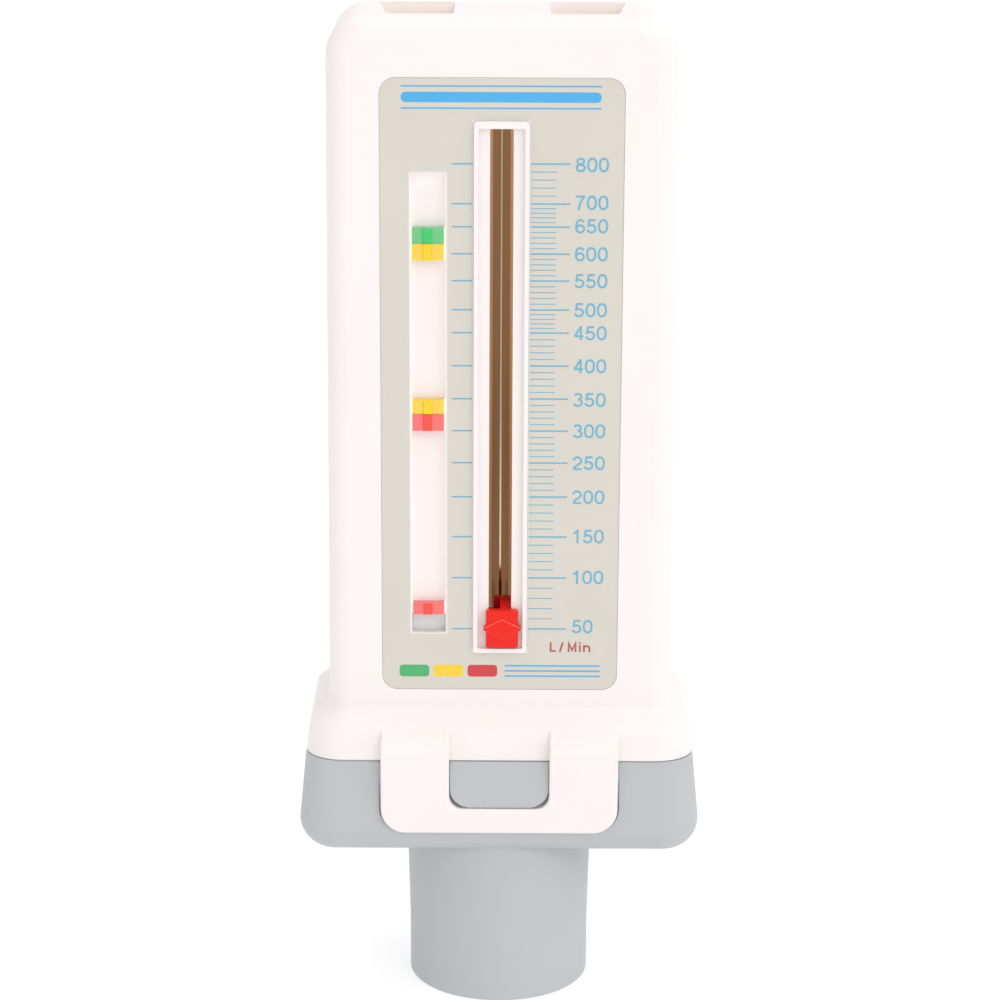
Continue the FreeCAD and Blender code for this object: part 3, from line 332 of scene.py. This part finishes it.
def rod_material():
    """Polished steel. Its warm tone and the change along its length are fitted to the photograph's colours; the cause
    is not known. Its warm tone and its darkening towards the top are painted reflection and shade, fitted to the
    photograph's colours together with the chamber's painted glow.
    """
    s = Shader("polished_rod")
    x, y, z = s.xyz()
    stretch = (1.0, 1.0, 0.02)
    steel = s.mix(s.ramp(z, 0.072, 0.104), (0.63, 0.57, 0.47), (0.375, 0.312, 0.235))
    s.surface(s.tint(steel, 0.05, 900.0, stretch=stretch), 0.12, metal=1.0, rough_swing=0.02, rough_scale=2600.0,
              bump_scale=5000.0, bump_depth=0.0000006, bump_stretch=stretch, rough_stretch=stretch)
    return s.mat


def ink_material(name, colour):
    s = Shader(name)
    s.surface(s.tint(colour, 0.05, 1400.0, 3.0), 0.40, rough_swing=0.05, rough_scale=2400.0, specular=0.35,
              bump_scale=6000.0, bump_depth=0.000001)
    return s.mat


WHITE = housing_material()
FILM = film_material("scale_film_print", (0.628, 0.597, 0.528), groove=True)
REAR_FILM = film_material("rear_film_print", (0.690, 0.668, 0.610))
GREY = grey_material()
ACETAL = plain_plastic("natural_acetal", (0.78, 0.765, 0.72), 0.38)
PISTON = plain_plastic("piston_moulding", (0.74, 0.71, 0.65), 0.42)
RED = button_material()
# the slider's red, with painted light and shade
SHADED_SLIDER_RED = slider_material()
RUBBER = plain_plastic("buffer_rubber_matt", (0.030, 0.030, 0.033), 0.72, specular=0.3, bump=0.00001)
ROD = rod_material()
SPRING = steel_material("spring_wire", (0.62, 0.62, 0.63), 0.24, 0.06, along=False)
GREEN = marker_material("green_tab", (0.165, 0.545, 0.230), (0.055, 0.555, 0.150), (0.12, 0.46, 0.18))
YELLOW = marker_material("yellow_tab", (0.86, 0.605, 0.086), (0.90, 0.610, 0.020), (0.84, 0.50, 0.07))
TAB_RED = marker_material("red_tab", (0.86, 0.185, 0.168), (0.84, 0.090, 0.066), (0.78, 0.13, 0.12))
BLUE_INK = ink_material("blue_ink", (0.150, 0.418, 0.585))
BRIGHT_BLUE_INK = ink_material("bright_blue_ink", (0.075, 0.40, 0.74))
RED_INK = ink_material("red_ink", (0.60, 0.055, 0.065))
DULL_RED_INK = ink_material("dull_red_ink", (0.46, 0.095, 0.090))
GREEN_INK = ink_material("green_ink", (0.085, 0.42, 0.155))
YELLOW_INK = ink_material("yellow_ink", (0.86, 0.60, 0.045))

NODE_MATERIALS = {
    "housing": WHITE, "front_label": FILM, "rear_label": REAR_FILM, "mouthpiece_base": GREY, "mouth_tube": GREY,
    "rod_carrier": ACETAL, "guide_rod": ROD, "rod_lower_clip": SPRING, "rod_top_bush": ACETAL,
    "upper_buffer": RUBBER, "lower_buffer": RUBBER, "piston_plate": PISTON, "piston_hub": ACETAL,
    "hub_ring": SPRING, "return_spring": SPRING, "pointer_carriage": SHADED_SLIDER_RED, "pointer_button": RED,
    "pointer_drag_spring": SPRING, "upper_marker_green": GREEN, "upper_marker_yellow": YELLOW,
    "middle_marker_yellow": YELLOW, "middle_marker_red": TAB_RED, "lower_marker_red": TAB_RED,
}
for name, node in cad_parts.items():
    material = NODE_MATERIALS[name]
    if not node.material_slots:
        node.data.materials.append(material)
    for held in node.material_slots:
        held.material = material


# ---------------------------------------------------------------- printed marks, as thin raised ink
FRONT = (-12.893, -12.918)      # back and face of the ink on the scale film
REAR = (12.893, 12.918)


class Ink:
    """Collects flat strokes and patches, in (x, z) millimetres, into one thin mesh."""

    def __init__(self, name, material, slot, body="frame", level=FRONT):
        self.name, self.material, self.slot, self.body, self.level = name, material, slot, body, level
        self.bm = bmesh.new()
        self.count = 0

    def _row(self, x, z):
        # each stroke's face lies 3 microns in front of the one before, so that crossings stay clean
        a, b = self.level
        b += math.copysign(0.003 * (self.count % 4), b)
        return self.bm.verts.new(mm(x, a, z)), self.bm.verts.new(mm(x, b, z))

    def stroke(self, points, width, closed=False):
        """A line of constant width along the points."""
        n = len(points)
        h = width / 2
        rows = []
        for i in range(n):
            p = Vector(points[i])
            before = Vector(points[(i - 1) % n]) if (closed or i > 0) else None
            after = Vector(points[(i + 1) % n]) if (closed or i < n - 1) else None
            d0 = (p - before).normalized() if before is not None else None
            d1 = (after - p).normalized() if after is not None else None
            if d0 is None:
                d0 = d1
            if d1 is None:
                d1 = d0
            t = (d0 + d1)
            t = t.normalized() if t.length > 1e-6 else d0
            normal = Vector((-t.y, t.x))
            k = h / max(0.35, abs(normal.dot(Vector((-d0.y, d0.x)))))
            rows.append((self._row(*(p + normal * k)), self._row(*(p - normal * k))))
        last = n if closed else n - 1
        for i in range(last):
            (la, lb), (ra, rb) = rows[i]
            (la2, lb2), (ra2, rb2) = rows[(i + 1) % n]
            self.bm.faces.new((lb, lb2, rb2, rb))
            self.bm.faces.new((la, ra, ra2, la2))
            self.bm.faces.new((la, la2, lb2, lb))
            self.bm.faces.new((ra, rb, rb2, ra2))
        if not closed:
            for (la, lb), (ra, rb) in (rows[0], rows[-1]):
                self.bm.faces.new((la, lb, rb, ra))
        self.count += 1
        return self

    def bar(self, x0, x1, z, width):
        return self.stroke([(x0, z), (x1, z)], width)

    def patch(self, x0, x1, z0, z1, r):
        """A filled rectangle with rounded corners."""
        pts = []
        for cx, cz, a0 in ((x1 - r, z1 - r, 0), (x0 + r, z1 - r, 90), (x0 + r, z0 + r, 180), (x1 - r, z0 + r, 270)):
            for k in range(7):
                a = math.radians(a0 + 15 * k)
                pts.append((cx + r * math.cos(a), cz + r * math.sin(a)))
        rows = [self._row(x, z) for x, z in pts]
        self.bm.faces.new([r[1] for r in rows])
        self.bm.faces.new([r[0] for r in reversed(rows)])
        for i in range(len(rows)):
            (a, b), (a2, b2) = rows[i], rows[(i + 1) % len(rows)]
            self.bm.faces.new((a, a2, b2, b))
        return self

    def done(self):
        bmesh.ops.recalc_face_normals(self.bm, faces=self.bm.faces)
        mesh = bpy.data.meshes.new(self.name)
        self.bm.to_mesh(mesh)
        self.bm.free()
        obj = bpy.data.objects.new(self.name, mesh)
        bpy.context.scene.collection.objects.link(obj)
        mesh.materials.append(self.material)
        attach(obj, self.body)
        return obj


def oval(cx, cz, a, b, start, end, steps, power=2.0):
    """Points on a (slightly squared) oval, angles in degrees, counter-clockwise when end > start."""
    out = []
    for k in range(steps + 1):
        t = math.radians(start + (end - start) * k / steps)
        c, s = math.cos(t), math.sin(t)
        out.append((cx + a * math.copysign(abs(c) ** (2 / power), c), cz + b * math.copysign(abs(s) ** (2 / power), s)))
    return out


def bend(p0, p1, p2, p3, steps=10):
    """Points on a cubic curve."""
    out = []
    for k in range(steps + 1):
        t = k / steps
        u = 1 - t
        out.append(tuple(u ** 3 * a + 3 * u * u * t * b + 3 * u * t * t * c + t ** 3 * e for a, b, c, e in zip(p0, p1, p2, p3)))
    return out


T = 0.138       # stroke of a numeral, as a share of its height
M = T / 2

# Each numeral in a cell 0.67 wide and 1 high, as (points, closed)
NUMERALS = {
    "0": [(oval(0.335, 0.5, 0.278, 0.5 - M, 0, 352, 44, 2.25), True)],
    "1": [([(0.405, 0.0), (0.405, 1.0)], False),
          (bend((0.125, 0.765), (0.27, 0.765), (0.355, 0.82), (0.385, 0.96)), False)],
    "2": [(oval(0.335, 0.672, 0.268, 0.328 - M, 172, -12, 22)
           + bend((0.592, 0.61), (0.56, 0.43), (0.13, 0.33), (0.085, M), 14), False),
          ([(0.05, M), (0.625, M)], False)],
    "3": [(oval(0.325, 0.738, 0.232, 0.262 - M, 158, -90, 26), False),
          (oval(0.325, 0.300, 0.280, 0.300 - M, 90, -160, 28), False)],
    "4": [([(0.478, 0.0), (0.478, 1.0)], False),
          ([(0.470, 0.955), (0.060, 0.300)], False),
          ([(0.025, 0.285), (0.645, 0.285)], False)],
    "5": [([(0.600, 1 - M), (0.150, 1 - M)], False),
          ([(0.190, 0.985), (0.118, 0.470)], False),
          (oval(0.322, 0.330, 0.283, 0.330 - M, 146, -165, 34), False)],
    "6": [(oval(0.350, 0.316, 0.262, 0.316 - M, 0, 350, 36), True),
          (oval(0.362, 0.560, 0.290, 0.440 - M, 38, 180, 22)
           + bend((0.072, 0.56), (0.068, 0.48), (0.074, 0.40), (0.088, 0.32), 6)[1:], False)],
    "7": [([(0.030, 1 - M), (0.660, 1 - M)], False),
          (bend((0.605, 0.93), (0.42, 0.72), (0.27, 0.40), (0.235, 0.0), 14), False)],
    "8": [(oval(0.335, 0.738, 0.232, 0.262 - M, 0, 350, 36), True),
          (oval(0.335, 0.294, 0.278, 0.294 - M, 0, 350, 36), True)],
}
HEIGHT = 2.26
ADVANCE = 1.79

LEVELS = {
    800: 139.85, 700: 133.61, 650: 130.00, 600: 125.74, 550: 121.47, 500: 116.85, 450: 113.17, 400: 107.86,
    350: 102.52, 300: 97.31, 250: 92.07, 200: 86.47, 150: 79.84, 100: 72.99, 50: 64.40,
}
SHIFT = {800: -0.10, 700: 0.22, 650: 0.15, 50: 0.42, 100: 0.12, 150: 0.10, 350: -0.12}

right_major = Ink("scale_marks_major", BLUE_INK, "scale_film")
left_major = Ink("scale_marks_left", BLUE_INK, "scale_film")
right_minor = Ink("scale_marks_minor", BLUE_INK, "scale_film")
values = sorted(LEVELS)
for value in values:
    right_major.bar(4.55, 10.62, LEVELS[value], 0.225)
    left_major.bar(-7.75, -4.55, LEVELS[value], 0.215)
for low, high in zip(values, values[1:]):
    for k in range(1, 5):
        z = LEVELS[low] + (LEVELS[high] - LEVELS[low]) * k / 5
        right_minor.bar(4.55, 8.47, z, 0.125)
right_major.done()
left_major.done()
right_minor.done()

for value in values:
    text = str(value)
    ink = Ink("numeral_%d" % value, BLUE_INK, "scale_film")
    x0 = 11.62 if value == 50 else 11.44
    z0 = LEVELS[value] + SHIFT.get(value, 0.0) - HEIGHT / 2
    for i, letter in enumerate(text):
        for points, closed in NUMERALS[letter]:
            ink.stroke([(x0 + i * ADVANCE + px * HEIGHT, z0 + pz * HEIGHT) for px, pz in points], T * HEIGHT, closed)
    ink.done()

# the unit under the scale
unit = Ink("unit_mark", DULL_RED_INK, "scale_film")
UX, UZ, UH, UT = 8.07, 60.52, 1.62, 0.30
for points in (
    [(0.15, 1.62), (0.15, 0.15), (1.02, 0.15)],
    [(1.62, 0.0), (2.12, 1.62)],
    [(3.06, 0.0), (3.06, 1.50), (3.62, 0.30), (4.18, 1.50), (4.18, 0.0)],
    [(4.86, 0.0), (4.86, 1.14)], [(4.86, 1.34), (4.86, 1.64)],
    [(5.52, 0.0), (5.52, 1.16)],
    [(5.56, 0.80)] + [(5.56 + 0.42 - 0.42 * math.cos(math.radians(a)), 0.62 + 0.40 * math.sin(math.radians(a))) for a in (40, 65, 90, 115, 140, 165)] + [(6.42, 0.45), (6.42, 0.0)],
):
    unit.stroke([(UX + px, UZ + pz) for px, pz in points], UT)
unit.done()

# plain rules and a zone key in place of other print
rules = Ink("top_rules", BRIGHT_BLUE_INK, "scale_film")
rules.patch(-15.6, 15.3, 149.35, 150.95, 0.75)
rules.bar(-15.6, 15.3, 151.85, 0.22)
rules.bar(-15.6, 15.3, 148.45, 0.22)
rules.done()
for name, ink, x0, x1 in (("key_green", GREEN_INK, -16.2, -11.4), ("key_yellow", YELLOW_INK, -10.7, -5.9), ("key_red", RED_INK, -5.2, -0.4)):
    Ink(name, ink, "scale_film").patch(x0, x1, 56.25, 58.25, 0.55).done()
key_lines = Ink("key_rules", BRIGHT_BLUE_INK, "scale_film")
key_lines.bar(0.8, 16.2, 58.13, 0.24)
key_lines.bar(0.8, 16.2, 57.25, 0.24)
key_lines.bar(0.8, 16.2, 56.37, 0.24)
key_lines.done()

# a blank table for notes on the back film
table = Ink("rear_table", BLUE_INK, "rear_film", level=REAR)
table.stroke([(-15.5, 78.5), (15.5, 78.5), (15.5, 135.5), (-15.5, 135.5)], 0.28, closed=True)
for z in (86.0, 93.5, 101.0, 108.5, 116.0):
    table.bar(-15.36, 15.36, z, 0.18)
table.stroke([(6.0, 78.64), (6.0, 123.36)], 0.18)
table.bar(-15.36, 15.36, 123.5, 0.28)
table.done()
for name, ink, x0, x1 in (("rear_key_green", GREEN_INK, 5.6, 13.8), ("rear_key_yellow", YELLOW_INK, -4.1, 4.1), ("rear_key_red", RED_INK, -13.8, -5.6)):
    Ink(name, ink, "rear_film", level=REAR).patch(x0, x1, 127.2, 131.8, 0.8).done()


# ---------------------------------------------------------------- return spring, close wound
def coil(name, turns, radius, wire, low, high, per_turn=28, around=10):
    rings = []
    total = int(turns * per_turn)
    centres = []
    for i in range(total + 1):
        t = i / total
        a = 2 * math.pi * turns * t
        centres.append(Vector((radius * math.cos(a), radius * math.sin(a), low + (high - low) * t)))
    verts, faces, heights = [], [], []
    for i, c in enumerate(centres):
        before, after = centres[max(i - 1, 0)], centres[min(i + 1, total)]
        along = (after - before).normalized()
        out = Vector((c.x, c.y, 0)).normalized()
        up = along.cross(out).normalized()
        out = up.cross(along).normalized()
        ring = []
        for k in range(around):
            a = 2 * math.pi * k / around
            verts.append(c + out * (wire * math.cos(a)) + up * (wire * math.sin(a)))
            heights.append(c.z)
            ring.append(len(verts) - 1)
        rings.append(ring)
    for r0, r1 in zip(rings, rings[1:]):
        for k in range(around):
            faces.append((r0[k], r0[(k + 1) % around], r1[(k + 1) % around], r1[k]))
    faces.append(tuple(reversed(rings[0])))
    faces.append(tuple(rings[-1]))
    mesh = bpy.data.meshes.new(name)
    mesh.from_pydata([tuple(v * MM) for v in verts], [], faces)
    mesh.update()
    mesh.shade_smooth()
    obj = bpy.data.objects.new(name, mesh)
    bpy.context.scene.collection.objects.link(obj)
    mesh.materials.append(SPRING)
    return obj, np.array(heights)


low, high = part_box("return_spring")
z0, z1 = low.z / MM + 0.16, high.z / MM - 0.16
spring, heights = coil("return_spring_coil", 44.0, 2.9, 0.16, z0, z1)
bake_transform(spring)
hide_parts("return_spring")


# ---------------------------------------------------------------- floor, light, camera
def floor():
    bm = bmesh.new()
    n = 12
    grid = [[bm.verts.new((-24 + 48 * i / n, -24 + 48 * j / n, 0.0)) for j in range(n + 1)] for i in range(n + 1)]
    for i in range(n):
        for j in range(n):
            bm.faces.new((grid[i][j], grid[i + 1][j], grid[i + 1][j + 1], grid[i][j + 1]))
    mesh = bpy.data.meshes.new("floor")
    bm.to_mesh(mesh)
    bm.free()
    obj = bpy.data.objects.new("floor", mesh)
    bpy.context.scene.collection.objects.link(obj)
    s = Shader("pale_floor")
    s.surface(s.tint((0.42, 0.42, 0.42), 0.005, 3.0), 0.9, rough_swing=0.02, rough_scale=5.0, specular=0.1)
    glow(s, (0.66, 0.66, 0.66))
    mesh.materials.append(s.mat)
    return obj


floor()

world = bpy.data.worlds.new("studio")
bpy.context.scene.world = world
world.use_nodes = True
wt = world.node_tree
background = wt.nodes["Background"]
coord = wt.nodes.new("ShaderNodeTexCoord")
split = wt.nodes.new("ShaderNodeSeparateXYZ")
wt.links.new(coord.outputs["Generated"], split.inputs[0])
fade = wt.nodes.new("ShaderNodeMapRange")
fade.interpolation_type = "SMOOTHSTEP"
fade.inputs["From Min"].default_value = -1.0
fade.inputs["From Max"].default_value = 0.25
fade.inputs["To Min"].default_value = 0.60
fade.inputs["To Max"].default_value = 1.0
wt.links.new(split.outputs["X"], fade.inputs["Value"])
rise = wt.nodes.new("ShaderNodeMapRange")       # white at the horizon, dimmer to the left above it
rise.interpolation_type = "SMOOTHSTEP"
rise.inputs["From Min"].default_value = 0.01
rise.inputs["From Max"].default_value = 0.14
wt.links.new(split.outputs["Z"], rise.inputs["Value"])
level = wt.nodes.new("ShaderNodeMix")
level.data_type = "FLOAT"
level.inputs[2].default_value = 1.0
wt.links.new(rise.outputs["Result"], level.inputs[0])
wt.links.new(fade.outputs["Result"], level.inputs[3])
mixer = wt.nodes.new("ShaderNodeMix")
mixer.data_type = "RGBA"
mixer.inputs[6].default_value = (0.0, 0.0, 0.0, 1.0)
mixer.inputs[7].default_value = (1.0, 1.0, 1.0, 1.0)
wt.links.new(level.outputs[0], mixer.inputs[0])
wt.links.new(mixer.outputs[2], background.inputs["Color"])
background.inputs["Strength"].default_value = 1.065


def lamp(name, place, aim, size, power, colour=(1.0, 1.0, 1.0)):
    data = bpy.data.lights.new(name, "AREA")
    data.shape = "RECTANGLE"
    data.size, data.size_y = size
    data.energy = power
    data.color = colour
    obj = bpy.data.objects.new(name, data)
    bpy.context.scene.collection.objects.link(obj)
    obj.location = place
    obj.rotation_euler = (Vector(aim) - Vector(place)).to_track_quat("-Z", "Y").to_euler()
    return obj


lamp("key", (0.75, -1.10, 1.05), (0.0, 0.0, 0.09), (0.8, 0.8), 3.9)
lamp("overhead", (-0.2, -0.1, 1.6), (0.0, 0.0, 0.08), (1.2, 1.2), 3.7)

cam_data = bpy.data.cameras.new("camera")
cam_data.lens = 108.0
cam_data.sensor_width = 36.0
cam = bpy.data.objects.new("camera", cam_data)
bpy.context.scene.collection.objects.link(cam)
cam.matrix_world = (
    Matrix.Translation((-0.000064, -0.47355, 0.2137))
    @ Matrix.Rotation(math.radians(74.5), 4, "X")
    @ Matrix.Rotation(math.radians(0.25), 4, "Z")
)
bpy.context.scene.camera = cam

bpy.context.scene.view_settings.view_transform = "Standard"
bpy.context.scene.view_settings.look = "None"
